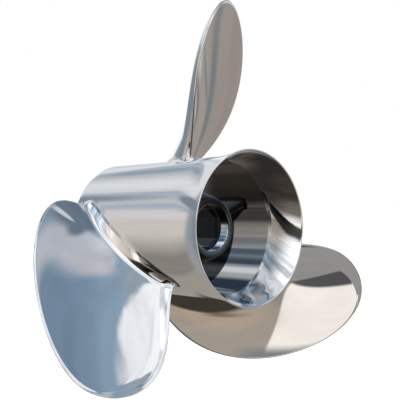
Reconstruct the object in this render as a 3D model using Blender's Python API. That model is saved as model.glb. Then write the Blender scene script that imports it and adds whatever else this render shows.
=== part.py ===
"""Outboard boat propeller: a right-hand stainless casting with three raked, cupped blades.

Exhaust leaves through the barrel, around an inner hub that three ribs carry. The casting is modelled as its
named regions: barrel, flared ring, inner hub, ribs and blades, with a hairline seam between neighbours.

Metres, +Z up. The shaft axis is Y with +Y forward, the origin is the centre of the inner hub's forward
thrust face, and blade 1 points straight up. Angles turn clockwise from the top as seen from behind.
"""

import math

import bmesh
import bpy
from mathutils import Matrix, Vector

SEAM = 0.0003
COUNT = 3

# Barrel and flared ring
SEGMENTS = 96
MOUTH_Y = -0.131
BARREL_LENGTH = 0.152
BARREL_RADIUS = 0.054
BARREL_BORE = 0.0496
BARREL_CHAMFER = 0.0015
FLARE_RADIUS = 0.0581
FLARE_LENGTH = 0.030
FLARE_STEPS = 5
RING_LENGTH = 0.0254
LIP_THICKNESS = 0.0013
CORNER_SLOPE = 0.10

# Inner hub with its drive socket
HUB_AFT_Y = -0.0885
HUB_AFT_RADIUS = 0.0229
HUB_RADIUS = 0.029
HUB_TAPER_LENGTH = 0.024
HUB_BEVEL = 0.0014
RECESS_RADIUS = 0.0183
RECESS_DEPTH = 0.009
RECESS_BEVEL = 0.0008
SOCKET_FLAT = 0.0147
SOCKET_CORNER = 0.0164

# Ribs between the inner hub and the barrel
RIB_ANGLE = 67.0
RIB_THICKNESS = 0.006
RIB_AFT_Y = -0.079
RIB_FRONT_Y = -0.008

# Blades
TIP_RADIUS = 0.1695
ROOT_PITCH = 0.448
TIP_PITCH = 0.504
HALF_CHORDS = (0.056, 0.0695, 0.1399, 0.1165)
ROOT_LEAD = 14.96
LEAD_POWER = 1.408
TIP_TURN = -1.1
ROOT_Y = -0.0375
RAKE = 0.549
RAKE_GROWTH = 0.106
CAMBER_RATIO = 0.0333
CUP_HEIGHT = 0.0045
CUP_START = 0.80
CUP_FULL_CHORD = 0.050
ROOT_THICKNESS = 0.009
TIP_THICKNESS = 0.003
BEVEL_WIDTH = 0.0022
BEVEL_HEIGHT = 0.0012
BEVEL_POWER = 1.25
RIM_ROUND = 0.0005
BACK_ROUND = 0.0008
EDGE_THICKNESS = BEVEL_HEIGHT + RIM_ROUND + BACK_ROUND
FILLET_HEIGHT = 0.0065
FILLET_SPREAD = 0.017
BACK_FILLET = 0.005
NOSE_POWER = 10
FILLET_ROWS = 6
SPAN_ROWS = 22
CHORD_STEPS = 22
ROOT_CAP_STEPS = 8
TIP_CAP_STEPS = 1
LAST_SPAN = 0.9994

# Finish of the casting: colour, metallic, roughness
POLISHED = ((0.70, 0.71, 0.72, 1.0), 1.0, 0.08)
AS_CAST = ((0.42, 0.41, 0.40, 1.0), 1.0, 0.38)


def clear_scene():
    for thing in list(bpy.data.objects):
        bpy.data.objects.remove(thing, do_unlink=True)


def steel(name, finish):
    colour, metallic, roughness = finish
    material = bpy.data.materials.new(name)
    material.use_nodes = True
    shader = material.node_tree.nodes["Principled BSDF"]
    shader.inputs["Base Color"].default_value = colour
    shader.inputs["Metallic"].default_value = metallic
    shader.inputs["Roughness"].default_value = roughness
    return material


def solid(name, mesh_data, finish, smooth_angle=35.0):
    """Turns a bmesh into a named object with outward faces and its own steel."""
    bmesh.ops.recalc_face_normals(mesh_data, faces=mesh_data.faces)
    if mesh_data.calc_volume(signed=True) < 0:
        bmesh.ops.reverse_faces(mesh_data, faces=mesh_data.faces)
    mesh = bpy.data.meshes.new(name)
    mesh_data.to_mesh(mesh)
    mesh_data.free()
    mesh.materials.append(steel(name + "_steel", finish))
    mesh.shade_smooth()
    mesh.set_sharp_from_angle(angle=math.radians(smooth_angle))
    thing = bpy.data.objects.new(name, mesh)
    bpy.context.scene.collection.objects.link(thing)
    return thing


def turned(name, profile, finish):
    """A closed outline of (radius, y) points, spun once round the shaft axis."""
    shape = bmesh.new()
    points = [shape.verts.new((0.0, y, radius)) for radius, y in profile]
    outline = [shape.edges.new((a, b)) for a, b in zip(points, points[1:] + points[:1])]
    bmesh.ops.spin(
        shape, geom=points + outline, cent=(0, 0, 0), axis=(0, 1, 0),
        angle=math.tau, steps=SEGMENTS, use_merge=True, use_duplicate=False,
    )
    bmesh.ops.remove_doubles(shape, verts=shape.verts, dist=1e-6)
    return solid(name, shape, finish)


def flare_radius(depth):
    """Outer radius of the ring and barrel at a depth in front of the mouth."""
    rest = max(0.0, 1.0 - depth / FLARE_LENGTH)
    return BARREL_RADIUS + (FLARE_RADIUS - BARREL_RADIUS) * rest * rest


def bell_radius(depth):
    """Inner radius of the ring at a depth aft of the corner, where it starts to open like a bell."""
    length = RING_LENGTH - LIP_THICKNESS / 2
    rise = FLARE_RADIUS - LIP_THICKNESS - BARREL_BORE - CORNER_SLOPE * length
    return BARREL_BORE + CORNER_SLOPE * depth + rise * (depth / length) ** 2


def make_diffuser_ring():
    """The flared aft end, from the thin rounded lip to the corner where the exhaust bore starts."""
    front = RING_LENGTH - SEAM / 2
    lip = LIP_THICKNESS / 2
    depths = [lip + (front - lip) * i / FLARE_STEPS for i in range(FLARE_STEPS + 1)]
    outside = [(flare_radius(d), MOUTH_Y + d) for d in depths]
    lip_inner = FLARE_RADIUS - LIP_THICKNESS
    inside = [(bell_radius(RING_LENGTH - d), MOUTH_Y + d) for d in reversed(depths)]
    nose = [(lip_inner + lip * 0.4, MOUTH_Y), (FLARE_RADIUS - lip * 0.4, MOUTH_Y)]
    turned("diffuser_ring", outside + inside + nose, POLISHED)


def make_barrel():
    """The straight exhaust tube that carries the blades."""
    aft = MOUTH_Y + RING_LENGTH + SEAM / 2
    front = MOUTH_Y + BARREL_LENGTH
    edge = BARREL_CHAMFER
    outside = [
        (flare_radius(RING_LENGTH + SEAM / 2), aft),
        (BARREL_RADIUS, MOUTH_Y + FLARE_LENGTH),
        (BARREL_RADIUS, front - edge),
        (BARREL_RADIUS - edge, front),
    ]
    inside = [(BARREL_BORE, front), (BARREL_BORE, aft)]
    turned("hub_barrel", outside + inside, POLISHED)


def hub_radius(y):
    """Outer radius of the inner hub, which swells forward from its aft ring."""
    grown = min(1.0, max(0.0, (y - HUB_AFT_Y) / HUB_TAPER_LENGTH))
    return HUB_AFT_RADIUS + (HUB_RADIUS - HUB_AFT_RADIUS) * math.sin(grown * math.pi / 2)


def socket_outline():
    """A square standing on its corner with the corners cut off, as (x, z) points."""
    reach = SOCKET_FLAT * math.sqrt(2) - SOCKET_CORNER
    corner = [(SOCKET_CORNER, -reach), (SOCKET_CORNER, reach)]
    outline = []
    for quarter in range(4):
        turn = Matrix.Rotation(quarter * math.pi / 2, 2)
        outline += [turn @ Vector(point) for point in corner]
    return outline


def socket_cutter():
    """The drive socket's space, longer than the hub at the front and begun inside the aft recess."""
    start = HUB_AFT_Y + RECESS_DEPTH / 2
    length = -start + RECESS_DEPTH
    shape = bmesh.new()
    base = shape.faces.new([shape.verts.new((x, start, z)) for x, z in socket_outline()])
    grown = bmesh.ops.extrude_face_region(shape, geom=[base])
    raised = [item for item in grown["geom"] if isinstance(item, bmesh.types.BMVert)]
    bmesh.ops.translate(shape, verts=raised, vec=(0, length, 0))
    cutter = solid("socket_cutter", shape, AS_CAST)
    cutter.hide_render = True
    cutter.display_type = "WIRE"
    return cutter


def make_inner_hub():
    """The sleeve with a round recess behind and the drive socket through it."""
    floor = HUB_AFT_Y + RECESS_DEPTH
    pilot = SOCKET_FLAT * 0.6
    steps = 4
    taper = [HUB_AFT_Y + HUB_BEVEL + (HUB_TAPER_LENGTH - HUB_BEVEL) * i / steps for i in range(steps + 1)]
    outside = [(HUB_AFT_RADIUS - HUB_BEVEL, HUB_AFT_Y)] + [(hub_radius(y), y) for y in taper]
    front = [(HUB_RADIUS, -HUB_BEVEL), (HUB_RADIUS - HUB_BEVEL, 0.0), (pilot, 0.0)]
    recess = [
        (pilot, floor),
        (RECESS_RADIUS, floor),
        (RECESS_RADIUS, HUB_AFT_Y + RECESS_BEVEL),
        (RECESS_RADIUS + RECESS_BEVEL, HUB_AFT_Y),
    ]
    hub = turned("inner_hub", outside + front + recess, AS_CAST)
    cut = hub.modifiers.new("drive_socket", "BOOLEAN")
    cut.operation = "DIFFERENCE"
    cut.solver = "EXACT"
    cut.object = socket_cutter()


def make_ribs():
    """Flat ribs from the inner hub out to the barrel."""
    outer = math.sqrt((BARREL_BORE * math.cos(math.pi / SEGMENTS)) ** 2 - (RIB_THICKNESS / 2) ** 2) - SEAM
    middle = HUB_AFT_Y + HUB_TAPER_LENGTH
    inner_line = [(hub_radius(y) + SEAM, y) for y in (RIB_AFT_Y, (RIB_AFT_Y + middle) / 2, middle)]
    outline = inner_line + [(HUB_RADIUS + SEAM, RIB_FRONT_Y), (outer, RIB_FRONT_Y), (outer, RIB_AFT_Y)]
    for number in range(COUNT):
        shape = bmesh.new()
        base = shape.faces.new([shape.verts.new((-RIB_THICKNESS / 2, y, radius)) for radius, y in outline])
        grown = bmesh.ops.extrude_face_region(shape, geom=[base])
        raised = [item for item in grown["geom"] if isinstance(item, bmesh.types.BMVert)]
        bmesh.ops.translate(shape, verts=raised, vec=(RIB_THICKNESS, 0, 0))
        turn = math.radians(RIB_ANGLE + number * 360 / COUNT)
        bmesh.ops.rotate(shape, verts=shape.verts, cent=(0, 0, 0), matrix=Matrix.Rotation(turn, 3, "Y"))
        solid(f"rib_{number + 1}", shape, AS_CAST)


def bezier(weights, t):
    a, b, c, d = weights
    s = 1.0 - t
    return a * s ** 3 + 3 * b * s * s * t + 3 * c * s * t * t + d * t ** 3


def fillet_share(height, reach):
    """How much of a root fillet's spread is left at a height above the barrel."""
    left = max(0.0, 1.0 - height / reach)
    return 1.0 - math.sqrt(1.0 - left ** 2)


def square_chord(span):
    """The square of half the chord, which falls evenly to zero at the tip."""
    return (1.0 - span) * bezier(HALF_CHORDS, span) ** 2


def edge_distance(span, place):
    """How far a point of the blade lies inside its outline."""
    square = square_chord(span)
    step = 1e-5
    change = (square_chord(span + step) - square_chord(span - step)) / (2 * step)
    change /= TIP_RADIUS - BARREL_RADIUS
    return square * (1.0 - place ** 2) / math.sqrt(change ** 2 + 4.0 * square * place ** 2)


def round_share(inward, reach):
    """Goes round from 0 at the outline to 1 at the given distance inside it."""
    return math.sqrt(1.0 - max(0.0, 1.0 - inward / reach) ** 2)


def bevel_share(inward):
    """Goes almost straight from 0 at the outline to 1 where the bevel ends."""
    return 1.0 - max(0.0, 1.0 - inward / BEVEL_WIDTH) ** BEVEL_POWER


def section(radius, turn):
    """The pressure face and the back of one cylindrical section, as rows of points that share both ends."""
    span = (radius - BARREL_RADIUS) / (TIP_RADIUS - BARREL_RADIUS)
    pitch = ROOT_PITCH + (TIP_PITCH - ROOT_PITCH) * span ** 2
    slope = math.atan2(pitch, math.tau * radius)
    half = math.sqrt(1.0 - span) * bezier(HALF_CHORDS, span)
    lead = math.radians(ROOT_LEAD * (1.0 - span ** LEAD_POWER) + TIP_TURN) + turn
    middle_y = ROOT_Y - (radius - BARREL_RADIUS) * (RAKE + RAKE_GROWTH * span)
    fullest = ROOT_THICKNESS + (TIP_THICKNESS - ROOT_THICKNESS) * span
    height = radius - BARREL_RADIUS
    back_swell = BACK_FILLET * fillet_share(height, BACK_FILLET)
    cup = CUP_HEIGHT * min(1.0, half / CUP_FULL_CHORD)
    face, back = [], []
    for step in range(CHORD_STEPS + 1):
        place = -math.cos(math.pi * step / CHORD_STEPS)
        nose = min(1.0, abs(place)) ** NOSE_POWER
        open_part = math.sqrt(1.0 - nose)
        spread = BACK_FILLET + (FILLET_SPREAD - BACK_FILLET) * math.sqrt(max(0.0, 1.0 - place ** 2))
        face_swell = spread * fillet_share(height, FILLET_HEIGHT) * open_part
        curl = max(0.0, (-place - CUP_START) / (1.0 - CUP_START)) ** 2 * cup
        inward = max(0.0, edge_distance(span, place))
        rim = CAMBER_RATIO * half * (place ** 2 - 1.0) + curl - BEVEL_HEIGHT - RIM_ROUND
        front = RIM_ROUND * round_share(inward, RIM_ROUND) + BEVEL_HEIGHT * bevel_share(inward)
        rear = BACK_ROUND * round_share(inward, BACK_ROUND)
        belly = (fullest - EDGE_THICKNESS) * (1.0 - place ** 2) * bevel_share(inward)
        along = place * half + math.copysign(back_swell * nose, place)
        top = rim + front + face_swell
        bottom = rim - rear - belly - back_swell * open_part
        face.append(place_point(radius, along, top, slope, lead, middle_y))
        back.append(place_point(radius, along, bottom, slope, lead, middle_y))
    return face, back


def place_point(radius, along, lift, slope, lead, middle_y):
    """A point given along and square to the helix, wrapped onto its cylinder as (radius, angle, y)."""
    round_way = along * math.cos(slope) + lift * math.sin(slope)
    y = middle_y + along * math.sin(slope) - lift * math.cos(slope)
    return (radius, lead + round_way / radius, y)


def on_cylinder(point):
    radius, angle, y = point
    return (radius * math.sin(angle), y, radius * math.cos(angle))


def close_end(shape, points, face_row, back_row, steps):
    """Closes one end of a blade with curved strips between its pressure face and its back."""
    face, back = points
    previous = face_row
    for step in range(1, steps + 1):
        t = step / steps
        row = back_row
        if step < steps:
            mixed = [[a + (b - a) * t for a, b in zip(p, q)] for p, q in zip(face[1:-1], back[1:-1])]
            row = [face_row[0]] + [shape.verts.new(on_cylinder(point)) for point in mixed] + [face_row[-1]]
        for corners in zip(previous, previous[1:], row[1:], row):
            shape.faces.new(dict.fromkeys(corners))
        previous = row


def blade_radii():
    """Radii of the sections: close together in the root fillet and again towards the tip."""
    foot = BARREL_RADIUS + SEAM
    top = BARREL_RADIUS + FILLET_HEIGHT
    last = BARREL_RADIUS + (TIP_RADIUS - BARREL_RADIUS) * LAST_SPAN
    fillet = [foot + (top - foot) * (i / FILLET_ROWS) ** 1.6 for i in range(FILLET_ROWS)]
    return fillet + [last - (last - top) * (1.0 - i / SPAN_ROWS) ** 1.7 for i in range(SPAN_ROWS + 1)]


def make_blades():
    """The blades, lofted through cylindrical sections from the barrel out to the tip."""
    for number in range(COUNT):
        shape = bmesh.new()
        sections = [section(radius, math.tau * number / COUNT) for radius in blade_radii()]
        rows = []
        for face, back in sections:
            face_row = [shape.verts.new(on_cylinder(point)) for point in face]
            back_row = [shape.verts.new(on_cylinder(point)) for point in back[1:-1]]
            rows.append((face_row, [face_row[0]] + back_row + [face_row[-1]]))
        for lower, upper in zip(rows, rows[1:]):
            for low, high in zip(lower, upper):
                for corners in zip(low, low[1:], high[1:], high):
                    shape.faces.new(corners)
        close_end(shape, sections[0], *rows[0], ROOT_CAP_STEPS)
        close_end(shape, sections[-1], *rows[-1], TIP_CAP_STEPS)
        solid(f"blade_{number + 1}", shape, POLISHED)


clear_scene()
make_diffuser_ring()
make_barrel()
make_inner_hub()
make_ribs()
make_blades()
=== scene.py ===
"""Looks of the outboard propeller: one seamless mirror-polished casting in a soft white studio."""

import math

import bpy
import numpy as np
from mathutils import Matrix, Vector


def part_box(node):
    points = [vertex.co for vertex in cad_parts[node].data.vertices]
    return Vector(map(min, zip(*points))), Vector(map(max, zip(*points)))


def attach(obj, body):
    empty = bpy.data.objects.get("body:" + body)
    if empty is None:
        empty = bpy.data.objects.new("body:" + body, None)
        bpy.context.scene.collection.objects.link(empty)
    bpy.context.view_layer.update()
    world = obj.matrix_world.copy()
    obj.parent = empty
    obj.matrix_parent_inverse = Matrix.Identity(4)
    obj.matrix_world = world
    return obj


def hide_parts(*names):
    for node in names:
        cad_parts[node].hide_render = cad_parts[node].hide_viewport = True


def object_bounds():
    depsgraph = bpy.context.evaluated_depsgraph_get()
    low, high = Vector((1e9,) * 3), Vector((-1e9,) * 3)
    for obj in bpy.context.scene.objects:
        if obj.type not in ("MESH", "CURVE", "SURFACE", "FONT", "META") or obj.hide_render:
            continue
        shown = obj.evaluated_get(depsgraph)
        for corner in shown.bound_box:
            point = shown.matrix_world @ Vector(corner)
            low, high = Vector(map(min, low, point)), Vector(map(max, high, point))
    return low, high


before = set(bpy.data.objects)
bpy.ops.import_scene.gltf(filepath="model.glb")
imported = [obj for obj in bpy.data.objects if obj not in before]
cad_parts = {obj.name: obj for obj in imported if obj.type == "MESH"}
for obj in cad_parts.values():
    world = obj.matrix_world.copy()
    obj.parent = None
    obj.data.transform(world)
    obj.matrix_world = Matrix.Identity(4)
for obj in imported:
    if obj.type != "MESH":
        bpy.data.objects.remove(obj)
cad_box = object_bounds()

BODY = "root"
COUNT = 3

# Degrees in a radian
RADIAN = 180 / math.pi

# Barrel and flared ring: sizes, then how many points their outline has
MOUTH_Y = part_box("diffuser_ring")[0].y
FRONT_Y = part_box("hub_barrel")[1].y
FLARE_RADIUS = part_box("diffuser_ring")[1].x
BARREL_RADIUS = 0.054
BARREL_BORE = 0.0496
BARREL_CHAMFER = 0.0015
FLARE_LENGTH = 0.030
RING_LENGTH = 0.0254
LIP_THICKNESS = 0.0013
CORNER_SLOPE = 0.10
FLARE_REACH = 0.045
CURVE_STEPS, STRAIGHT_STEPS, FRONT_STEPS = 60, 30, 3
LIP_STEPS, CHAMFER_STEPS = 9, 7
BARREL_TURNS = 288

# Inner hub: outside, recess and drive socket, then how many points they have
HUB_AFT_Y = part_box("inner_hub")[0].y
HUB_FRONT_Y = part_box("inner_hub")[1].y
HUB_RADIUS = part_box("inner_hub")[1].x
HUB_AFT_RADIUS = 0.0229
HUB_TAPER_LENGTH = 0.024
HUB_BEVEL = 0.0014
BEVEL_END = -12
RECESS_RADIUS = 0.0183
RECESS_DEPTH = 0.009
RECESS_BEVEL = 0.0008
SOCKET_FLAT = 0.0147
SOCKET_CORNER = 0.0164
SOCKET_BEVEL = 0.0010
SOCKET_INSET = 0.003
TAPER_STEPS, BEVEL_STEPS, RECESS_STEPS, SOCKET_STEPS = 24, 6, 8, 16
HUB_TURNS = 240

# Ribs
RIB_ANGLE = 67.0
RIB_THICKNESS = 0.006
RIB_AFT_Y = -0.079
RIB_FRONT_Y = -0.008
RIB_FILLET = 0.003
RIB_SQUARENESS = 8.0
RIB_STEPS, RIB_ROWS = 60, 40

# Blades: outline, pitch, skew and rake, camber and cup, thickness, edges, root fillets, rows of points
TIP_RADIUS = 0.1695
ROOT_PITCH = 0.448
TIP_PITCH = 0.504
HALF_CHORDS = (0.056, 0.0695, 0.1399, 0.1165)
ROOT_LEAD = 14.96
LEAD_POWER = 1.408
TIP_TURN = -1.1
ROOT_Y = -0.0375
RAKE = 0.549
RAKE_GROWTH = 0.106
CAMBER_RATIO = 0.0333
CUP_HEIGHT = 0.0045
CUP_START = 0.80
CUP_FULL_CHORD = 0.050
ROOT_THICKNESS = 0.009
TIP_THICKNESS = 0.003
BEVEL_WIDTH = 0.0022
BEVEL_HEIGHT = 0.0012
BEVEL_POWER = 1.25
RIM_ROUND = 0.0005
BACK_ROUND = 0.0008
EDGE_THICKNESS = BEVEL_HEIGHT + RIM_ROUND + BACK_ROUND
NOSE_POWER = 24
FILLET_HEIGHT = 0.0065
FILLET_SPREAD = 0.017
BACK_FILLET = 0.005
FILLET_ROWS = 24
SPAN_ROWS = 140
SPAN_CROWDING = 1.9
CHORD_STEPS = 140
LAST_SPAN = 0.99995
FOOT_SINK = 0.0001

# Noise: the range that most of its values fall in, and how fine its detail is
NOISE_RANGE = (0.3, 0.7)
NO_DETAIL, LITTLE_DETAIL, SOME_DETAIL, FINE_DETAIL = 0.0, 2.0, 3.0, 4.0

# Polish: fine lines left by the wheel, and faint smears and haze
LINE_DRIFT = 0.4
LINE_SCALE = 40.0
LINE_SHINE = (0.89, 0.95)
LINE_DEPTH = 0.000012
SMEAR_SCALE = 7.0
SMEAR_SHINE = (-0.01, 0.01)
SMEAR_DEPTH = 0.00002
POLISH_ROUGHNESS = (0.03, 0.07)
HAZE_SCALE = 40.0
BLADE_SHINE = (0.915, 0.925)
BLADE_ROUGHNESS = (0.015, 0.03)

# Bore: its wall darkened as painted shade, painted shade in the mouth that fades towards the lip, soot
# with painted shade deep inside, and a painted shadow of the rib on one side
BORE_SKIN = BARREL_BORE + 0.0005
SKIN_EDGE = 0.0001
SHADED_BORE_SHINE = 0.50
SHADED_CORNER_SHINE = 0.45
BELL_SHADE_FADE = (0.10, 0.75)
SOOT_AND_SHADE_SHINE = 0.05
SOOT_AND_SHADE_OVERHEAD = 0.10
OVERHEAD_EDGE = 7.0
SOOT_AND_SHADE_Y = -0.0640
SOOT_AND_SHADE_EDGE = 0.0006
RIB_SHADE_FAN = 18.0
RIB_SHADE_REACH = 0.020
RIB_SHADOW_SHINE = 0.14
RIB_SHADOW_PLACE = (72.0, 75.0, 82.0, 92.0)

# Inner hub and ribs: cast skin with grain and stains, its darkness partly painted shade, and the machined
# face and recess, with painted shade towards the face's top and a painted highlight low on the recess wall
SOCKET_SHINE = 0.02
HUB_SHINE = 0.014
HUB_TINT = (0.86, 1.0, 1.12)
HUB_STAIN = (0.85, 1.15)
HUB_ROUGHNESS = (0.3, 0.04)
FACE_EDGE = (0.0008, 0.0003)
FACE_DEPTH = (RECESS_BEVEL, RECESS_BEVEL * 1.2)
FACE_SHINE = 0.09
FACE_LIT = (0.1, 0.95, 1.0, 0.2)
RECESS_EDGE = (0.0003, 0.0001)
RECESS_HIGHLIGHT = 0.65
WALL_LIT = (0.04, 0.20)
RIB_SHINE = (0.005, 0.009)
RIB_ROUGHNESS = (0.35, 0.28)
CAST_GRAIN = 900.0
CAST_STAIN = 90.0
CAST_DEPTH = 0.00006

# Camera: turn round the object, height, distance, where it aims sideways and up, lens
VIEW_AZIMUTH = 43.60
VIEW_ELEVATION = -1.38
CAMERA_DISTANCE = 0.5233
AIM_RIGHT = -0.03895
AIM_UP = 0.02064
CAMERA_LENS = 64.76
FILM_WIDTH = 36.0

# The steel mirrors soft surroundings that stand still round the part, in colours as a screen shows them
PALETTE = {
    "glow": (272, 275, 280),
    "white": (250, 253, 255),
    "cloud": (238, 240, 245),
    "cream": (250, 243, 235),
    "pale": (222, 226, 230),
    "haze": (205, 208, 214),
    "silver": (190, 192, 197),
    "mist": (176, 186, 196),
    "dove": (169, 180, 194),
    "lilac": (184, 188, 199),
    "sky": (136, 158, 179),
    "deep sky": (116, 138, 160),
    "steel": (150, 163, 176),
    "flint": (126, 137, 149),
    "slate": (104, 120, 136),
    "dusk": (84, 98, 118),
    "storm": (78, 92, 106),
    "midnight": (58, 71, 88),
    "night": (50, 61, 74),
    "ink": (33, 43, 55),
    "pearl": (211, 207, 208),
    "linen": (205, 199, 193),
    "sand": (178, 172, 166),
    "taupe": (158, 151, 144),
    "fawn": (167, 156, 146),
    "clay": (150, 141, 132),
    "rose": (154, 143, 139),
    "stone": (137, 132, 126),
    "tan": (176, 160, 143),
    "brown": (126, 109, 93),
    "ash": (112, 107, 101),
    "bark": (82, 76, 70),
    "umber": (62, 56, 51),
    "olive": (70, 74, 69),
    "soot": (48, 45, 42),
    "black": (17, 17, 15),
    "grey": (150, 148, 146),
    "graphite": (84, 84, 86),
    "charcoal": (46, 47, 46),
    "fog": (152, 156, 161),
    "pewter": (124, 127, 131),
}
# Ground and sky: sine of the elevation, colour
BASE = [
    (-1.0, "grey"), (-0.75, "grey"), (-0.45, "clay"), (-0.2, "taupe"), (-0.02, "sand"),
    (0.08, "linen"), (0.3, "haze"), (0.6, "pale"), (0.9, "white"),
]
# Soft ovals behind the large cloud: name, azimuth, elevation, roll, half width, half height, edge, colour
FAR_PATCHES = [
    ("port glow", -110, 35, 0, 60, 45, 0.3, "white"),
    ("starboard sky", 92, 46, 0, 42, 30, 0.12, "sky"),
    ("low sky", 98, 30, 0, 16, 12, 0.6, "deep sky"),
    ("high sky", 95, 64, 0, 12, 7, 0.7, "steel"),
    ("blue over the sky", 85, 76, 0, 7, 5, 0.5, "steel"),
]
# The same before the large cloud
NEAR_PATCHES = [
    ("lilac cloud", 82, 37, 0, 9.5, 13.5, 0.22, "lilac"),
    ("bright of the lilac cloud", 73, 39, 0, 6, 5, 0.7, "haze"),
    ("bright edge of the lilac cloud", 89, 43, 0, 3, 8, 0.8, "silver"),
    ("lilac veil", 87, 25.5, 0, 3, 5, 0.5, "lilac"),
    ("dark hill", 70, 24, 0, 10.5, 6.5, 0.22, "slate"),
    ("foot of the hill", 77.5, 29, 0, 4, 2.2, 0.5, "slate"),
    ("glint on the hill", 77.4, 23.6, -36, 0.9, 3.2, 0.4, "haze"),
    ("starboard ground", 82, -14, 0, 30, 22, 0.1, "taupe"),
    ("rosy ground", 97, -22, 0, 11, 13, 0.6, "rose"),
    ("dark streak", 79.2, -9, 0, 3.0, 13, 0.7, "pewter"),
    ("second dark streak", 72.5, -1, -25, 0.7, 6, 0.7, "pewter"),
    ("shade over the ground", 62.5, 3, 0, 2.2, 5, 0.7, "pewter"),
    ("port ground", -60, -39, 0, 8, 8, 0.3, "taupe"),
    ("shade behind the hub", 134, 0, 0, 16, 10, 0.4, "fog"),
    ("taupe screen", -143, -4, 0, 18, 30, 0.08, "fawn"),
    ("cream screen", -172.8, -3.1, -6, 16, 42, 0.01, "cream"),
    ("graphite wedge", -168, -41, 0, 5.3, 7, 0.12, "graphite"),
    ("ground below", 0, -90, 0, 53.6, 53.6, 0.01, "grey"),
    ("shade low in the cream", -159.5, 4.0, 0, 3.5, 6, 0.6, "pewter"),
    ("tan glow", -144, -6, 32, 5, 16, 0.5, "tan"),
    ("brown streak", -137.5, -4, 40, 1.8, 16, 0.4, "brown"),
    ("tan streak", -136.5, 0, 32, 1.2, 9, 0.5, "tan"),
    ("dark room", -132, -9, 34, 7.5, 25, 0.15, "umber"),
]
# The large cloud aft and its brightest part, how ragged it is, and the wisps in it
CLOUD = ("large cloud", -166, 47.4, 0, 56.5, 48, 0.035)
ZENITH = ("zenith", 0, 90, 0, 20, 20, 0.3)
CLOUD_RAGGED = 0.12
CLOUD_PUFFS = 9.0
WISP_ACROSS, WISP_ALONG = 12.0, 2.5
WISP_RANGE = (0.52, 0.68)
# Soft ovals before everything else, most of them ahead, where the barrel's outside mirrors them
PATCHES_AHEAD = [
    ("gloom ahead", 0, -3, 0, 26, 26, 0.12, "fog"),
    ("heart of the gloom", 0, -2, 0, 19, 19, 0.2, "flint"),
    ("slate veil", -17, 20.5, -39, 4.5, 12, 0.35, "flint"),
    ("blue veil overhead", 18, 36.5, 0, 5, 3.2, 0.35, "steel"),
    ("light swirl in the mouth", 50, 45, -20, 6, 3.5, 0.5, "silver"),
    ("light ahead", 17, 27, 0, 19, 4.5, 0.2, "pale"),
]
# What the barrel's outside mirrors: angle round the shaft, colour
OUTER = [
    (-180, "taupe"), (-170, "stone"), (-140, "stone"), (-130, "taupe"), (-117, "sand"), (-100, "linen"),
    (-80, "linen"), (-72, "pearl"), (-62, "pearl"), (-58, "mist"), (-53, "dove"), (-50, "dove"),
    (-49, "silver"), (-43, "silver"), (-42, "mist"), (-30, "dove"), (-27, "mist"), (-26, "haze"),
    (-17, "pale"), (-6, "pale"), (4, "haze"), (10, "silver"), (15, "mist"), (20, "dove"),
    (29, "mist"), (37, "dove"), (47, "haze"), (58, "haze"), (66, "white"), (85, "white"),
    (98, "taupe"), (180, "taupe"),
]
# The same for its bore
BORE = [
    (-180, "umber"), (-150, "soot"), (-140, "soot"), (-134, "bark"), (-129, "ash"), (-124, "umber"),
    (-121, "taupe"), (-118, "linen"), (-103, "linen"), (-98, "linen"), (-93, "sand"), (-88, "sand"),
    (-79, "sand"), (-75, "silver"), (-71, "taupe"), (-63, "fog"), (-57, "mist"), (-53, "silver"),
    (-51, "slate"), (-43, "slate"), (-38, "steel"), (-34, "flint"), (-29, "dusk"), (-22, "dusk"),
    (-19, "mist"), (-16, "haze"), (-12, "glow"), (-4, "glow"), (1, "pale"), (11, "haze"),
    (15, "flint"), (19, "midnight"), (50, "midnight"), (53, "night"), (57, "dusk"), (63, "flint"),
    (69, "steel"), (73, "flint"), (77, "slate"), (90, "umber"), (113, "umber"), (120, "bark"),
    (145, "bark"), (163, "umber"), (180, "umber"),
]
# What the mouth mirrors where it meets the bore: angle round the shaft less the streaks' slant, colour
MOUTH_CORNER = [
    (-180, "soot"), (-155, "soot"), (-146, "umber"), (-138, "umber"), (-132, "bark"), (-120, "ash"),
    (-115, "linen"), (-110, "sand"), (-105, "stone"), (-97, "clay"), (-88, "taupe"), (-80, "sand"),
    (-71, "sand"), (-66, "fog"), (-59, "fog"), (-54, "mist"), (-50, "steel"), (-46, "flint"),
    (-42, "flint"), (-38, "steel"), (-34, "steel"), (-30, "slate"), (-27, "flint"), (-23, "mist"),
    (-18, "haze"), (-11, "haze"), (-6, "silver"), (1, "steel"), (5, "flint"), (10, "storm"),
    (13, "storm"), (18, "slate"), (24, "steel"), (33, "flint"), (38, "storm"), (44, "storm"),
    (50, "flint"), (57, "steel"), (66, "slate"), (76, "storm"), (85, "bark"), (120, "bark"),
    (140, "bark"), (152, "umber"), (165, "soot"), (180, "soot"),
]
# The same at the mouth's lip
MOUTH_LIP = [
    (-180, "umber"), (-155, "umber"), (-148, "umber"), (-144, "bark"), (-138, "ash"), (-125, "ash"),
    (-121, "sand"), (-116, "pale"), (-112, "cream"), (-106, "cream"), (-101, "graphite"), (-95, "ash"),
    (-91, "silver"), (-87, "glow"), (-58, "glow"), (-54, "pale"), (-50, "glow"), (-45, "haze"),
    (-40, "haze"), (-35, "glow"), (-30, "glow"), (-25, "pale"), (-19, "pale"), (-14, "pale"),
    (-10, "mist"), (-4, "silver"), (0, "dusk"), (3, "slate"), (7, "steel"), (12, "fog"), (19, "fog"),
    (26, "steel"), (31, "storm"), (36, "slate"), (39, "ink"), (42, "ink"), (46, "slate"), (58, "flint"),
    (85, "umber"), (107, "bark"), (120, "umber"), (128, "soot"), (165, "soot"), (180, "umber"),
]
# The most colours that one ramp holds
RAMP_LIMIT = 32
# Angles off straight ahead over which the bands of the outside and of the bore end
OUTER_RIM = (43.3, 44.7)
BORE_RIM = (49.1, 49.9)
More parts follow.
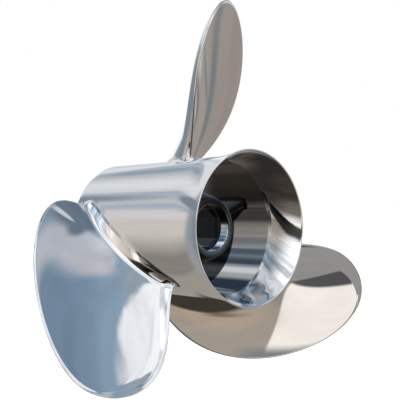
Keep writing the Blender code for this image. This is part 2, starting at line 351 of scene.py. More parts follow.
# Where the mouth's band lies: wide to port and narrow to starboard, at the corner and at the lip
MOUTH_START = 47.0
MOUTH_SIDE = 90.0
CORNER_SPREAD, LIP_SPREAD, LEAST_SPREAD = 13.0, 57.0, 0.05
MOUTH_EDGE = (1.0, 3.0)
# The mouth's streaks, fine lines in them, and how they crumple at its bottom
STREAK_SLANT = 20.0
LIP_BLEND = (0.2, 0.85)
FINE_STREAKS = 0.3
FINE_RANGE = (0.35, 0.65)
FINE_GAIN = (0.84, 1.12)
CRUMPLES_ACROSS, CRUMPLES_ALONG = 0.045, 3.0
CRUMPLE_PLACE = 15.0
CRUMPLE_PART = (20.0, 45.0)
CRUMPLE_TURN = 35.0
# The dark crescent across them: its place, bow and edges in degrees, and shares from corner to lip
CRESCENT_PLACE = -99.0
CRESCENT_BOW = 32.0
CRESCENT_FRONT = (-9.5, -7.5)
CRESCENT_BACK = (10.0, 17.0)
CRESCENT_HEART = (-3.0, 4.0)
CRESCENT_THIN = (0.5, 0.85)
CRESCENT_LOSS = 7.0
CRESCENT_LIP = (0.35, 1.0)
AT_CORNER = (-0.08, -0.04)
PAST_CORNER = (0.01, 0.06)
# Faint veins through all but the bands round the shaft and the ovals before everything
VEINS = (12.0, 12.0, 2.0)
VEIN_GAIN = (0.94, 1.05)

# White background, and a pale floor with the light that falls on it
WHITE = (1.0, 1.0, 1.0, 1.0)
FLOOR_SIZE = 8.0
FLOOR_DROP = 0.002
FLOOR_COLOUR = (0.8, 0.8, 0.8, 1.0)
FLOOR_ROUGHNESS = 0.9
FLOOR_LIGHT = (1.12, 1.12, 1.12, 1.0)
FLOOR_GLOW = 0.70


def link(name, points, faces, smooth_angle=50.0):
    """A mesh object from points and faces, shaded smooth up to the given angle."""
    mesh = bpy.data.meshes.new(name)
    mesh.from_pydata([tuple(point) for point in points], [], [tuple(face) for face in faces])
    mesh.validate()
    mesh.shade_smooth()
    mesh.set_sharp_from_angle(angle=math.radians(smooth_angle))
    thing = bpy.data.objects.new(name, mesh)
    bpy.context.scene.collection.objects.link(thing)
    return thing


def grid_faces(rows, columns, closed_rows=False, closed_columns=False, flip=False):
    """Quads of a grid of points numbered row by row."""
    row = np.arange(rows if closed_rows else rows - 1)
    column = np.arange(columns if closed_columns else columns - 1)
    r, c = np.meshgrid(row, column, indexing="ij")
    r2, c2 = (r + 1) % rows, (c + 1) % columns
    corners = [r * columns + c, r * columns + c2, r2 * columns + c2, r2 * columns + c]
    if flip:
        corners.reverse()
    return np.stack([k.ravel() for k in corners], axis=1)


def arc(centre, radius, start, end, steps):
    """Points of a (radius, y) outline round a centre, angles in degrees from +radius towards +y."""
    angles = np.radians(np.linspace(start, end, steps))
    return [(centre[0] + radius * math.cos(a), centre[1] + radius * math.sin(a)) for a in angles]


def line(start, end, steps):
    """Points along a straight stretch of an outline, without its last point."""
    return [tuple(np.array(start) + (np.array(end) - np.array(start)) * i / steps) for i in range(steps)]


def turned(name, outline, turns, shape=None):
    """A closed (radius, y) outline turned round the shaft axis; shape may change a radius by angle."""
    angles = np.arange(turns) * math.tau / turns
    profile = np.array(outline)
    radius = np.repeat(profile[:, :1], turns, axis=1)
    if shape is not None:
        radius = shape(radius, angles[None, :])
    along = np.repeat(profile[:, 1:], turns, axis=1)
    points = np.stack([radius * np.sin(angles), along, radius * np.cos(angles)], axis=-1)
    faces = grid_faces(len(profile), turns, closed_rows=True, closed_columns=True)
    return link(name, points.reshape(-1, 3), faces)


def flare_radius(depth):
    """Outer radius of the barrel at a depth forward of the mouth's rim."""
    rest = np.clip(1.0 - depth / FLARE_LENGTH, 0.0, None)
    return BARREL_RADIUS + (FLARE_RADIUS - BARREL_RADIUS) * rest ** 2


def bell_radius(depth):
    """Inner radius of the mouth, which opens like a bell, at a depth aft of the bore's corner."""
    length = RING_LENGTH - LIP_THICKNESS / 2
    rise = FLARE_RADIUS - LIP_THICKNESS - BARREL_BORE - CORNER_SLOPE * length
    return BARREL_BORE + CORNER_SLOPE * depth + rise * (depth / length) ** 2


def barrel_outline():
    """The whole tube: aft over the flare, round the lip, forward through the bore and back outside."""
    lip = LIP_THICKNESS / 2
    corner_y = MOUTH_Y + RING_LENGTH
    outside = [(flare_radius(d), MOUTH_Y + d) for d in np.linspace(FLARE_REACH, lip, CURVE_STEPS)]
    nose = arc((FLARE_RADIUS - lip, MOUTH_Y + lip), lip, 0, -180, LIP_STEPS)[1:]
    bell_depths = np.linspace(RING_LENGTH - lip, 0.0, CURVE_STEPS)[1:]
    bell = [(bell_radius(d), corner_y - d) for d in bell_depths]
    edge_y = FRONT_Y - BARREL_CHAMFER
    edge_radius = BARREL_RADIUS - BARREL_CHAMFER
    bore = line((BARREL_BORE, corner_y), (BARREL_BORE, edge_y), STRAIGHT_STEPS)[1:]
    front = line((BARREL_BORE, FRONT_Y), (edge_radius, FRONT_Y), FRONT_STEPS)
    edge = arc((edge_radius, edge_y), BARREL_CHAMFER, 90, 0, CHAMFER_STEPS)
    straight = line((BARREL_RADIUS, edge_y), (BARREL_RADIUS, MOUTH_Y + FLARE_REACH), STRAIGHT_STEPS)[1:]
    return outside + nose + bell + bore + front + edge + straight


def make_barrel():
    """Barrel, flare, lip, mouth and bore as one skin."""
    barrel = turned("barrel_skin", barrel_outline()[::-1], BARREL_TURNS)
    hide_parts("hub_barrel", "diffuser_ring")
    return barrel


def hub_radius(y):
    """Outer radius of the inner hub, which grows forward of its aft face."""
    grown = np.clip((y - HUB_AFT_Y) / HUB_TAPER_LENGTH, 0.0, 1.0)
    return HUB_AFT_RADIUS + (HUB_RADIUS - HUB_AFT_RADIUS) * np.sin(grown * math.pi / 2)


def socket_radius(angles, grow):
    """Distance from the axis to the drive socket's wall: a square on its corner with cut corners."""
    to_flat = np.abs(np.degrees(angles) % 90.0 - 45.0)
    to_corner = 45.0 - to_flat
    flat = (SOCKET_FLAT + grow) / np.cos(np.radians(to_corner))
    corner = (SOCKET_CORNER + grow) / np.cos(np.radians(to_flat))
    return np.minimum(flat, corner)


def hub_outline():
    """The inner hub's outline in three stretches: outside, drive socket (with bevels), recess."""
    floor = HUB_AFT_Y + RECESS_DEPTH
    taper = np.linspace(HUB_AFT_Y + HUB_BEVEL, HUB_AFT_Y + HUB_TAPER_LENGTH, TAPER_STEPS)
    aft_centre = (HUB_AFT_RADIUS - HUB_BEVEL, HUB_AFT_Y + HUB_BEVEL)
    aft = arc(aft_centre, HUB_BEVEL, -90, BEVEL_END, BEVEL_STEPS)
    outside = aft + [(hub_radius(y), y) for y in taper]
    front = arc((HUB_RADIUS - HUB_BEVEL, HUB_FRONT_Y - HUB_BEVEL), HUB_BEVEL, 0, 90, BEVEL_STEPS)
    rim_start = (RECESS_RADIUS, HUB_AFT_Y + RECESS_BEVEL)
    rim_end = (RECESS_RADIUS + RECESS_BEVEL, HUB_AFT_Y)
    recess = line((RECESS_RADIUS, floor), rim_start, RECESS_STEPS)
    recess += line(rim_start, rim_end, 2) + [rim_end]
    socket = [(-SOCKET_BEVEL, HUB_FRONT_Y), (0.0, HUB_FRONT_Y - SOCKET_BEVEL)]
    socket_y = np.linspace(HUB_FRONT_Y - SOCKET_INSET, floor + SOCKET_BEVEL, SOCKET_STEPS)
    socket += [(0.0, y) for y in socket_y]
    socket += [(-SOCKET_BEVEL, floor)]
    return outside + front, socket, recess


def make_inner_hub():
    """The inner hub, round outside and in its recess, with the socket's shape through its middle."""
    outside, socket, recess = hub_outline()
    outline = outside + [(0.0, y) for _, y in socket] + recess
    grow = np.zeros((len(outline), 1))
    inside = np.zeros((len(outline), 1), bool)
    first = len(outside)
    for i, (bevel, _) in enumerate(socket):
        inside[first + i] = True
        grow[first + i] = -bevel

    def shape(radius, angles):
        return np.where(inside, socket_radius(angles, grow), radius)

    hub = turned("inner_hub_skin", outline, HUB_TURNS, shape)
    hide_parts("inner_hub")
    return hub


def make_rib(number):
    """A flat rib with rounded edges that swells into the barrel and the inner hub."""
    around = np.arange(RIB_STEPS) * math.tau / RIB_STEPS
    middle_y, half_y = (RIB_AFT_Y + RIB_FRONT_Y) / 2, (RIB_FRONT_Y - RIB_AFT_Y) / 2
    share = (1 - np.cos(np.linspace(0, math.pi, RIB_ROWS))) / 2
    power = 2.0 / RIB_SQUARENESS
    across = np.sign(np.cos(around)) * np.abs(np.cos(around)) ** power
    along = np.sign(np.sin(around)) * np.abs(np.sin(around)) ** power
    points = []
    for s in share:
        y0 = middle_y + along * half_y
        inner = hub_radius(y0)
        radius = inner + (BARREL_BORE - inner) * s
        near = np.minimum(radius - inner, BARREL_BORE - radius)
        left = np.clip(RIB_FILLET - near, 0.0, None)
        swell = RIB_FILLET - np.sqrt(RIB_FILLET ** 2 - left ** 2)
        x = across * (RIB_THICKNESS / 2 + swell)
        y = y0 + along * swell
        angle = math.radians(RIB_ANGLE + number * 360 / COUNT) + x / radius
        points.append(np.stack([radius * np.sin(angle), y, radius * np.cos(angle)], axis=-1))
    faces = [tuple(face) for face in grid_faces(RIB_ROWS, RIB_STEPS, closed_columns=True)]
    faces.append(tuple(range(RIB_STEPS))[::-1])
    faces.append(tuple(range((RIB_ROWS - 1) * RIB_STEPS, RIB_ROWS * RIB_STEPS)))
    rib = link(f"rib_skin_{number + 1}", np.concatenate(points), faces)
    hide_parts(f"rib_{number + 1}")
    return rib


def bezier(weights, t):
    """A cubic curve through its first and last weight, at shares from 0 to 1."""
    a, b, c, d = weights
    s = 1.0 - t
    return a * s ** 3 + 3 * b * s * s * t + 3 * c * s * t * t + d * t ** 3


def fillet_share(height, reach):
    """How much of a root fillet's spread is left at a height above the barrel."""
    left = np.clip(1.0 - height / reach, 0.0, 1.0)
    return 1.0 - np.sqrt(1.0 - left ** 2)


def outline_reach(span):
    """Square of half the chord, a smooth value that falls to 0 at the tip."""
    return (1.0 - span) * bezier(HALF_CHORDS, span) ** 2


def edge_distance(span, place):
    """How far a point of the blade lies inside its outline."""
    step = 1e-5
    length = TIP_RADIUS - BARREL_RADIUS
    square = outline_reach(span)
    change = (outline_reach(span + step) - outline_reach(span - step)) / (2 * step * length)
    return square * (1.0 - place ** 2) / np.sqrt(change ** 2 + 4.0 * square * place ** 2)


def round_share(inward, reach):
    """Goes round from 0 at the outline to 1 at the given distance inside it."""
    return np.sqrt(1.0 - np.clip(1.0 - inward / reach, 0.0, 1.0) ** 2)


def bevel_share(inward):
    """Goes almost straight from 0 at the outline to 1 where the bevel ends."""
    return 1.0 - np.clip(1.0 - inward / BEVEL_WIDTH, 0.0, 1.0) ** BEVEL_POWER


def blade_line(radius, span, turn):
    """The blade's middle line: slope of the chord, angle round the shaft and place along it."""
    pitch = ROOT_PITCH + (TIP_PITCH - ROOT_PITCH) * span ** 2
    slope = np.arctan2(pitch, math.tau * radius)
    lead = ROOT_LEAD * (1.0 - np.clip(span, 0.0, 1.0) ** LEAD_POWER) + TIP_TURN
    middle_y = ROOT_Y - (radius - BARREL_RADIUS) * (RAKE + RAKE_GROWTH * span)
    return slope, np.radians(lead) + turn, middle_y


def blade_lifts(span, place, half):
    """How far the pressure face and the back stand off the chord, without the root fillets."""
    cup = CUP_HEIGHT * np.clip(half / CUP_FULL_CHORD, 0.0, 1.0)
    curl = np.clip((-place - CUP_START) / (1.0 - CUP_START), 0.0, None) ** 2 * cup
    fullest = ROOT_THICKNESS + (TIP_THICKNESS - ROOT_THICKNESS) * span
    inward = edge_distance(span, place)
    rim = CAMBER_RATIO * half * (place ** 2 - 1.0) + curl - BEVEL_HEIGHT - RIM_ROUND
    front = RIM_ROUND * round_share(inward, RIM_ROUND) + BEVEL_HEIGHT * bevel_share(inward)
    back = BACK_ROUND * round_share(inward, BACK_ROUND)
    belly = (fullest - EDGE_THICKNESS) * (1.0 - place ** 2) * bevel_share(inward)
    return rim + front, rim - back - belly


def blade_surface(radius, place, turn):
    """Pressure face and back of a blade, at radii by rows and places -1 to 1 on the chord by columns."""
    height = radius - BARREL_RADIUS
    span = height / (TIP_RADIUS - BARREL_RADIUS)
    slope, lead, middle_y = blade_line(radius, span, turn)
    half = np.sqrt(1.0 - span) * bezier(HALF_CHORDS, span)
    face, back = blade_lifts(span, place, half)
    nose = np.abs(place) ** NOSE_POWER
    open_part = np.sqrt(1.0 - nose)
    spread = BACK_FILLET + (FILLET_SPREAD - BACK_FILLET) * np.sqrt(1.0 - place ** 2)
    face_swell = spread * fillet_share(height, FILLET_HEIGHT) * open_part
    back_swell = BACK_FILLET * fillet_share(height, BACK_FILLET)
    along = place * half + np.sign(place) * back_swell * nose
    sides = []
    for lift in (face + face_swell, back - back_swell * open_part):
        angle = lead + (along * np.cos(slope) + lift * np.sin(slope)) / radius
        y = middle_y + along * np.sin(slope) - lift * np.cos(slope)
        sides.append(np.stack([radius * np.sin(angle), y, radius * np.cos(angle)], axis=-1))
    return sides


def make_blade(number):
    """One blade, both faces joined along the edges, its foot sunk a hair into the barrel."""
    foot = BARREL_RADIUS - FOOT_SINK
    top = BARREL_RADIUS + FILLET_HEIGHT
    last = BARREL_RADIUS + (TIP_RADIUS - BARREL_RADIUS) * LAST_SPAN
    bend = np.linspace(0.0, math.pi / 2, FILLET_ROWS, endpoint=False)
    fillet = BARREL_RADIUS + FILLET_HEIGHT * (1.0 - np.cos(bend))
    body = last - (last - top) * (1.0 - np.linspace(0, 1, SPAN_ROWS)) ** SPAN_CROWDING
    radius = np.concatenate([[foot], fillet, body])[:, None]
    place = -np.cos(np.linspace(0, math.pi, CHORD_STEPS + 1))[None, :]
    face, back = blade_surface(radius, place, math.tau * number / COUNT)
    loops = np.concatenate([face, back[:, -2:0:-1]], axis=1)
    rows, columns = loops.shape[:2]
    faces = [tuple(quad) for quad in grid_faces(rows, columns, closed_columns=True, flip=True)]
    # Strips of quads close the foot and the tip
    for row, flip in ((0, False), (rows - 1, True)):
        base = row * columns
        front_row = [base + i for i in range(CHORD_STEPS + 1)]
        back_row = [base] + [base + columns - i for i in range(1, CHORD_STEPS)] + [base + CHORD_STEPS]
        for a, b, c, d in zip(front_row, front_row[1:], back_row[1:], back_row):
            corners = list(dict.fromkeys((a, b, c, d)))
            faces.append(tuple(corners[::-1] if flip else corners))
    blade = link(f"blade_skin_{number + 1}", loops.reshape(-1, 3), faces)
    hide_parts(f"blade_{number + 1}")
    return blade


class Value:
    """A number, colour or direction in a node tree, so that formulas read as plain arithmetic."""

    def __init__(self, tree, socket):
        self.tree = tree
        self.socket = socket

    def __add__(self, other):
        return maths("ADD", self, other)

    def __sub__(self, other):
        return maths("SUBTRACT", self, other)

    def __rsub__(self, other):
        return maths("SUBTRACT", other, self)

    def __mul__(self, other):
        return maths("MULTIPLY", self, other)

    def __truediv__(self, other):
        return maths("DIVIDE", self, other)


def connect(value, socket):
    """Puts a value of the tree or a constant into a socket."""
    if isinstance(value, Value):
        value.tree.links.new(value.socket, socket)
    else:
        socket.default_value = value


def add_node(tree, kind, inputs, **settings):
    """A node of a kind, with its settings and with what goes into its sockets."""
    node = tree.nodes.new(kind)
    for name, setting in settings.items():
        setattr(node, name, setting)
    for key, value in inputs.items():
        connect(value, node.inputs[key])
    return node


def output(node, name):
    """What comes out of one of a node's sockets."""
    return Value(node.id_data, node.outputs[name])


def maths(operation, *values):
    """One arithmetic step on values of the tree and plain numbers."""
    tree = next(value.tree for value in values if isinstance(value, Value))
    return output(add_node(tree, "ShaderNodeMath", dict(enumerate(values)), operation=operation), "Value")


def soft_step(value, start, end, low=0.0, high=1.0, kind="SMOOTHSTEP"):
    """Goes smoothly from low to high as the value goes from start to end."""
    inputs = {"Value": value, "From Min": start, "From Max": end, "To Min": low, "To Max": high}
    return output(add_node(value.tree, "ShaderNodeMapRange", inputs, interpolation_type=kind), "Result")


def straight_step(value, start, end, low=0.0, high=1.0):
    """Goes straight from low to high as the value goes from start to end, and stops there."""
    return soft_step(value, start, end, low, high, "LINEAR")


def parts(direction):
    """The x, y and z of a direction or place."""
    node = add_node(direction.tree, "ShaderNodeSeparateXYZ", {"Vector": direction})
    return [output(node, name) for name in "XYZ"]


def join(*values):
    """A direction or place from its x, y and, if given, z."""
    return output(add_node(values[0].tree, "ShaderNodeCombineXYZ", dict(enumerate(values))), "Vector")


def noise(place, detail, scale=1.0):
    """Cloudy noise around 0.5, with more or less fine detail in it."""
    inputs = {"Vector": place, "Scale": scale, "Detail": detail}
    return output(add_node(place.tree, "ShaderNodeTexNoise", inputs), "Fac")


def graded(clouds, low, high):
    """Noise whose usual range goes softly from low to high."""
    return soft_step(clouds, *NOISE_RANGE, low, high)


def blend(factor, under, over):
    """A colour that goes from one to another as the factor goes from 0 to 1."""
    inputs = {"Factor": factor, "A": under, "B": over}
    return output(add_node(factor.tree, "ShaderNodeMix", inputs, data_type="RGBA"), "Result")


def scaled(colour, factor):
    """A colour made brighter or darker."""
    inputs = {"Vector": colour, "Scale": factor}
    return output(add_node(colour.tree, "ShaderNodeVectorMath", inputs, operation="SCALE"), "Vector")


def grey(value, tint=(1.0, 1.0, 1.0)):
    """A value as a grey colour, or one with a slight tint."""
    inputs = {name: value * share for name, share in zip(("Red", "Green", "Blue"), tint)}
    return output(add_node(value.tree, "ShaderNodeCombineColor", inputs), "Color")


def linear(colour):
    """A display colour, 0 to 255 a channel, as linear light."""
    channels = [c / 255 for c in colour]
    return tuple(c / 12.92 if c <= 0.04045 else ((c + 0.055) / 1.055) ** 2.4 for c in channels) + (1.0,)


def paint(name):
    """A colour of the palette as linear light."""
    return linear(PALETTE[name])


def colour_ramp(value, stops, low, high):
    """Palette colours at values from low to high; a long list is split over two ramps."""
    if len(stops) > RAMP_LIMIT:
        half = len(stops) // 2
        under = colour_ramp(value, stops[:half + 1], low, high)
        over = colour_ramp(value, stops[half:], low, high)
        return blend(maths("GREATER_THAN", value, stops[half][0]), under, over)
    ramp = add_node(value.tree, "ShaderNodeValToRGB", {"Fac": straight_step(value, low, high)})
    elements = ramp.color_ramp.elements
    elements.remove(elements[1])
    for i, (at, name) in enumerate(stops):
        share = (at - low) / (high - low)
        element = elements[0] if i == 0 else elements.new(share)
        element.position = share
        element.color = paint(name)
    return output(ramp, "Color")


def new_material(name):
    """A metal material, where its points lie, and its shader."""
    material = bpy.data.materials.new(name)
    material.use_nodes = True
    shader = material.node_tree.nodes["Principled BSDF"]
    shader.inputs["Metallic"].default_value = 1.0
    place = output(add_node(material.node_tree, "ShaderNodeTexCoord", {}), "Object")
    return material, place, shader


def set_finish(shader, colour, roughness, *waves):
    """Sets a metal's colour and roughness, and small waves, each a height from 0 to 1 and its size."""
    connect(colour, shader.inputs["Base Color"])
    connect(roughness, shader.inputs["Roughness"])
    source = {}
    for height, size in waves:
        bump = add_node(height.tree, "ShaderNodeBump", {"Height": height, "Distance": size, **source})
        source = {"Normal": output(bump, "Normal")}
    if source:
        connect(source["Normal"], shader.inputs["Normal"])


def polished_steel():
    """The blades' even mirror polish, with only a faint haze."""
    material, place, shader = new_material("polished_steel")
    haze = noise(place, LITTLE_DETAIL, HAZE_SCALE)
    set_finish(shader, grey(graded(haze, *BLADE_SHINE)), graded(haze, *BLADE_ROUGHNESS))
    return material


def mouth_painted_shade(radius, past):
    """How much painted shade darkens the mouth's wall below the polish outside, by how far it lies past
    the corner.
    """
    share = past / RING_LENGTH
    rise = FLARE_RADIUS - LIP_THICKNESS - BARREL_BORE - CORNER_SLOPE * RING_LENGTH
    wall = past * CORNER_SLOPE + (BARREL_BORE + LIP_THICKNESS / 2) + share * share * rise
    in_mouth = maths("LESS_THAN", radius, wall) * maths("GREATER_THAN", past, 0.0)
    return in_mouth * (1.0 - soft_step(share, *BELL_SHADE_FADE, SHADED_CORNER_SHINE, 1.0))


def soot_and_shade_share(y, angle):
    """Soot and painted shade deep in the bore, reaching further aft beside each rib as a painted rib
    shadow, thin overhead.
    """
    from_rib = maths("FLOORED_MODULO", angle - RIB_ANGLE, 360 / COUNT)
    fan = straight_step(from_rib, 0.0, RIB_SHADE_FAN, 1.0, 0.0)
    deep = soft_step(y + fan * RIB_SHADE_REACH, SOOT_AND_SHADE_Y - SOOT_AND_SHADE_EDGE, SOOT_AND_SHADE_Y + SOOT_AND_SHADE_EDGE)
    off_top = maths("ABSOLUTE", angle)
    return deep * soft_step(off_top, RIB_ANGLE - OVERHEAD_EDGE, RIB_ANGLE, SOOT_AND_SHADE_OVERHEAD, 1.0)


def rib_shadow_share(angle):
    """A painted shadow of the rib along one side of the bore, from where it starts to where it has faded.
    """
    start, full, fading, end = RIB_SHADOW_PLACE
    return 1.0 - (soft_step(angle, start, full, 1.0, 0.0) + soft_step(angle, fading, end))


def barrel_steel():
    """The polished barrel with fine lines and smears, darkened by painted shade in its bore and mouth,
    with soot and painted shade deep inside and a painted rib shadow.
    """
    material, place, shader = new_material("barrel_steel")
    x, y, z = parts(place)
    radius = maths("SQRT", x * x + z * z)
    angle = maths("ARCTAN2", x, z) * RADIAN
    corner_y = MOUTH_Y + RING_LENGTH
    inside = soft_step(radius, BORE_SKIN - SKIN_EDGE, BORE_SKIN + SKIN_EDGE, 1.0, 0.0)
    in_bore = inside * soft_step(y, corner_y - SKIN_EDGE, corner_y + SKIN_EDGE)
    # Painted shade: the bore and the mouth darker towards the inside, soot with painted shade deep in, and
    # a painted rib shadow on one side
    painted_light = 1.0 - in_bore * (1.0 - SHADED_BORE_SHINE) - mouth_painted_shade(radius, corner_y - y)
    painted_light = painted_light * (1.0 - inside * soot_and_shade_share(y, angle) * (1.0 - SOOT_AND_SHADE_SHINE))
    painted_light = painted_light * (1.0 - in_bore * rib_shadow_share(angle) * (1.0 - RIB_SHADOW_SHINE))
    around = join(x / radius, y * LINE_DRIFT, z / radius)
    lines = noise(around, FINE_DETAIL, LINE_SCALE)
    smears = noise(around, LITTLE_DETAIL, SMEAR_SCALE)
    bright = graded(lines, *LINE_SHINE) + graded(smears, *SMEAR_SHINE)
    roughness = graded(smears, *POLISH_ROUGHNESS)
    set_finish(shader, grey(bright * painted_light), roughness, (smears, SMEAR_DEPTH), (lines, LINE_DEPTH))
    return material


def hub_steel():
    """The inner hub: bare and dark outside, partly as painted shade; machined brighter on its ring face,
    with painted shade towards the face's top, and in its recess, where the brightness is a painted
    highlight on the lower wall only.
    """
    material, place, shader = new_material("hub_steel")
    x, y, z = parts(place)
    radius = maths("SQRT", x * x + z * z)
    level = z / radius
    off_face = y - HUB_AFT_Y
    within = soft_step(radius, *(HUB_AFT_RADIUS - edge for edge in FACE_EDGE), 1.0, 0.0)
    beside = soft_step(radius, *(RECESS_RADIUS - edge for edge in RECESS_EDGE))
    off_floor = soft_step(off_face, *(RECESS_DEPTH - edge for edge in RECESS_EDGE), 1.0, 0.0)
    machined = beside * within * off_floor
    face = machined * soft_step(off_face, *FACE_DEPTH, 1.0, 0.0)
    # Painted highlight: the recess wall is made bright only low down, as if lit there
    wall = (machined - face) * soft_step(level, *WALL_LIT, 1.0, 0.0)
    # The cast skin is kept very dark, partly as painted shade deep in the barrel
    bright = soft_step(radius, RECESS_RADIUS, HUB_AFT_RADIUS, SOCKET_SHINE, HUB_SHINE)
    bright = bright + wall * RECESS_HIGHLIGHT
    # Painted shade: the machined face grows darker towards the top
    bright = bright + face * soft_step(level, *FACE_LIT) * FACE_SHINE
    bright = bright * graded(noise(place, LITTLE_DETAIL, CAST_STAIN), *HUB_STAIN)
    grain = noise(place, SOME_DETAIL, CAST_GRAIN) * (1.0 - machined)
    roughness = straight_step(machined, 0.0, 1.0, *HUB_ROUGHNESS)
    set_finish(shader, grey(bright, HUB_TINT), roughness, (grain, CAST_DEPTH))
    return material


def rib_steel():
    """The ribs' cast skin, its darkness partly painted shade."""
    material, place, shader = new_material("rib_steel")
    stain = noise(place, LITTLE_DETAIL, CAST_STAIN)
    grain = noise(place, SOME_DETAIL, CAST_GRAIN)
    # The very dark cast skin is partly painted shade deep in the barrel
    set_finish(shader, grey(graded(stain, *RIB_SHINE)), graded(stain, *RIB_ROUGHNESS), (grain, CAST_DEPTH))
    return material


def patch_mask(direction, label, azimuth, elevation, roll, half_width, half_height, edge, ragged=None):
    """1 inside an oval of the surroundings and 0 outside, with a soft edge that may be ragged."""
    turn = Matrix.Rotation(-math.radians(azimuth), 3, "Z")
    turn = turn @ Matrix.Rotation(math.radians(elevation), 3, "X")
    turn = turn @ Matrix.Rotation(math.radians(roll), 3, "Y")
    inputs = {
        "Vector": direction,
        "Location": turn @ Vector((0, 1, 0)),
        "Rotation": turn.to_euler("XYZ"),
        "Scale": (math.sin(math.radians(half_width)), 1, math.sin(math.radians(half_height))),
    }
    mapping = add_node(direction.tree, "ShaderNodeMapping", inputs, vector_type="TEXTURE", label=label)
    inputs = {0: output(mapping, "Vector")}
    reach = output(add_node(direction.tree, "ShaderNodeVectorMath", inputs, operation="LENGTH"), "Value")
    if ragged is not None:
        reach = reach + ragged
    return soft_step(reach, 1 - edge, 1 + edge, 1.0, 0.0)


def add_patches(colour, direction, patches):
    """Soft ovals drawn over a colour, one after another."""
    for *oval, name in patches:
        colour = blend(patch_mask(direction, *oval), colour, paint(name))
    return colour


def add_cloud(colour, direction):
    """The large cloud aft, with puffs along its edge and grey wisps in it, brightest overhead."""
    x, y, z = parts(direction)
    round_mast = maths("ARCTAN2", x, y * -1.0)
    wisps = noise(join(z * WISP_ACROSS, round_mast * WISP_ALONG), FINE_DETAIL)
    ragged = (noise(direction, FINE_DETAIL, CLOUD_PUFFS) - 0.5) * CLOUD_RAGGED
    inside = blend(soft_step(wisps, *WISP_RANGE), paint("cloud"), paint("haze"))
    inside = blend(patch_mask(direction, *ZENITH), inside, paint("white"))
    return blend(patch_mask(direction, *CLOUD, ragged), colour, inside)


def mouth_place(off_shaft, round_shaft):
    """Where the mouth's bell mirrors a direction: share from corner to lip, angle along streaks, mask."""
    turn = (round_shaft - MOUTH_SIDE) * (1 / RADIAN)
    spread = maths("SQRT", (1.0 - maths("COSINE", turn)) * 0.5)
    spread = maths("MAXIMUM", spread, LEAST_SPREAD)
    past = off_shaft - MOUTH_START
    share = (past - spread * CORNER_SPREAD) / (spread * (LIP_SPREAD - CORNER_SPREAD))
    along = maths("WRAP", round_shaft - share * STREAK_SLANT, 180.0, -180.0)
    mask = soft_step(past - spread * LIP_SPREAD, *MOUTH_EDGE, 1.0, 0.0)
    return share, along, mask


def crumpled(share, along):
    """The angle along the streaks, shifted to and fro at the bottom of the mouth."""
    waves = noise(join(along * CRUMPLES_ACROSS, share * CRUMPLES_ALONG), NO_DETAIL) - 0.5
    off_bottom = maths("ABSOLUTE", along - CRUMPLE_PLACE)
    return along + waves * soft_step(off_bottom, *CRUMPLE_PART, CRUMPLE_TURN, 0.0)


def mouth_streaks(share, along):
    """Streaks that brighten towards the lip, with fine lines, lit to make up for the painted shade at the
    corner.
    """
    at_corner = colour_ramp(along, MOUTH_CORNER, -180, 180)
    at_lip = colour_ramp(along, MOUTH_LIP, -180, 180)
    colour = blend(soft_step(share, *LIP_BLEND), at_corner, at_lip)
    fine = noise(join(along * FINE_STREAKS, share), SOME_DETAIL)
    # Brightened by as much as the mouth's painted shade darkens the wall there
    shading = soft_step(share, *BELL_SHADE_FADE, SHADED_CORNER_SHINE, 1.0)
    return scaled(colour, soft_step(fine, *FINE_RANGE, *FINE_GAIN) / shading)


def add_crescent(colour, share, along):
    """A dark crescent across the streaks, bowed on its way from corner to lip and thinner at the lip."""
    rest = 1.0 - share
    across = along - CRESCENT_PLACE + rest * rest * CRESCENT_BOW
    narrowed = across + soft_step(share, *CRESCENT_THIN, 0.0, CRESCENT_LOSS)
    mask = soft_step(across, *CRESCENT_FRONT) * soft_step(narrowed, *CRESCENT_BACK, 1.0, 0.0)
    started = maths("MAXIMUM", soft_step(share, *PAST_CORNER), soft_step(share, *AT_CORNER, 1.0, 0.0))
    dark = blend(soft_step(across, *CRESCENT_HEART), paint("black"), paint("charcoal"))
    dark = blend(soft_step(share, *CRESCENT_LIP), dark, paint("olive"))
    return blend(mask * started, colour, dark)


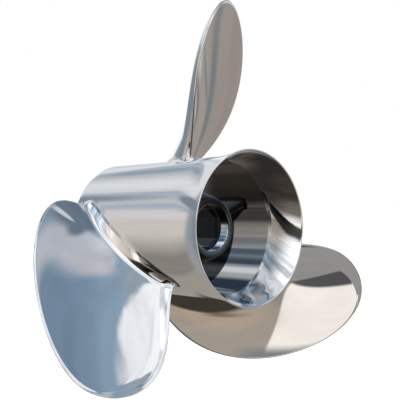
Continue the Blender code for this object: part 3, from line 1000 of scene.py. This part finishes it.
def make_world():
    """Plain white for the camera; reflections see a soft sky, screens, and bands round the shaft."""
    world = bpy.data.worlds.new("studio")
    bpy.context.scene.world = world
    world.use_nodes = True
    world.cycles.sampling_method = "NONE"
    tree = world.node_tree
    direction = output(add_node(tree, "ShaderNodeTexCoord", {}), "Generated")
    x, y, z = parts(direction)
    colour = add_patches(colour_ramp(z, BASE, -1, 1), direction, FAR_PATCHES)
    colour = add_patches(add_cloud(colour, direction), direction, NEAR_PATCHES)
    stretched = join(*(part * stretch for part, stretch in zip((x, y, z), VEINS)))
    colour = scaled(colour, graded(noise(stretched, FINE_DETAIL), *VEIN_GAIN))
    off_shaft = maths("ARCCOSINE", y) * RADIAN
    round_shaft = maths("ARCTAN2", x, z) * RADIAN
    share, along, mask = mouth_place(off_shaft, round_shaft)
    along = crumpled(share, along)
    colour = blend(mask, colour, add_crescent(mouth_streaks(share, along), share, along))
    for rim, stops in ((BORE_RIM, BORE), (OUTER_RIM, OUTER)):
        band = colour_ramp(round_shaft, stops, -180, 180)
        colour = blend(soft_step(off_shaft, *rim, 1.0, 0.0), colour, band)
    colour = add_patches(colour, direction, PATCHES_AHEAD)
    path = add_node(tree, "ShaderNodeLightPath", {})
    colour = blend(output(path, "Is Glossy Ray"), FLOOR_LIGHT, colour)
    colour = blend(output(path, "Is Camera Ray"), colour, WHITE)
    connect(colour, tree.nodes["Background"].inputs["Color"])


def make_floor():
    """A wide pale floor just below the propeller, which glows a little so that it stays plain."""
    half, low = FLOOR_SIZE / 2, cad_box[0].z - FLOOR_DROP
    points = [(-half, -half, low), (half, -half, low), (half, half, low), (-half, half, low)]
    floor = link("floor", points, [(0, 1, 2, 3)])
    material = bpy.data.materials.new("pale_floor")
    material.use_nodes = True
    shader = material.node_tree.nodes["Principled BSDF"]
    shader.inputs["Base Color"].default_value = FLOOR_COLOUR
    shader.inputs["Roughness"].default_value = FLOOR_ROUGHNESS
    shader.inputs["Emission Color"].default_value = WHITE
    shader.inputs["Emission Strength"].default_value = FLOOR_GLOW
    floor.data.materials.append(material)
    floor.visible_glossy = False


def make_camera():
    """The photograph's camera: behind the propeller to port, almost level with its shaft."""
    a, e = math.radians(VIEW_AZIMUTH), math.radians(VIEW_ELEVATION)
    back = Vector((-math.sin(a) * math.cos(e), -math.cos(a) * math.cos(e), math.sin(e)))
    right = Vector((math.cos(a), -math.sin(a), 0.0))
    up = back.cross(right)
    mouth = Vector((0.0, MOUTH_Y, 0.0))
    data = bpy.data.cameras.new("camera")
    data.lens = CAMERA_LENS
    data.sensor_width = FILM_WIDTH
    camera = bpy.data.objects.new("camera", data)
    bpy.context.scene.collection.objects.link(camera)
    turn = Matrix((right, up, back)).transposed().to_4x4()
    place = mouth + back * CAMERA_DISTANCE + right * AIM_RIGHT + up * AIM_UP
    camera.matrix_world = Matrix.Translation(place) @ turn
    bpy.context.scene.camera = camera


bpy.context.scene.view_settings.view_transform = "Standard"
make_camera()
make_world()
make_floor()
polished, cast = polished_steel(), rib_steel()
pieces = [(make_barrel(), barrel_steel(), "polished_steel")]
pieces += [(make_inner_hub(), hub_steel(), "cast_steel")]
pieces += [(make_rib(number), cast, "cast_steel") for number in range(COUNT)]
pieces += [(make_blade(number), polished, "polished_steel") for number in range(COUNT)]
for piece, material, slot in pieces:
    piece.data.materials.append(material)
    piece.visible_glossy = False
    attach(piece, BODY)
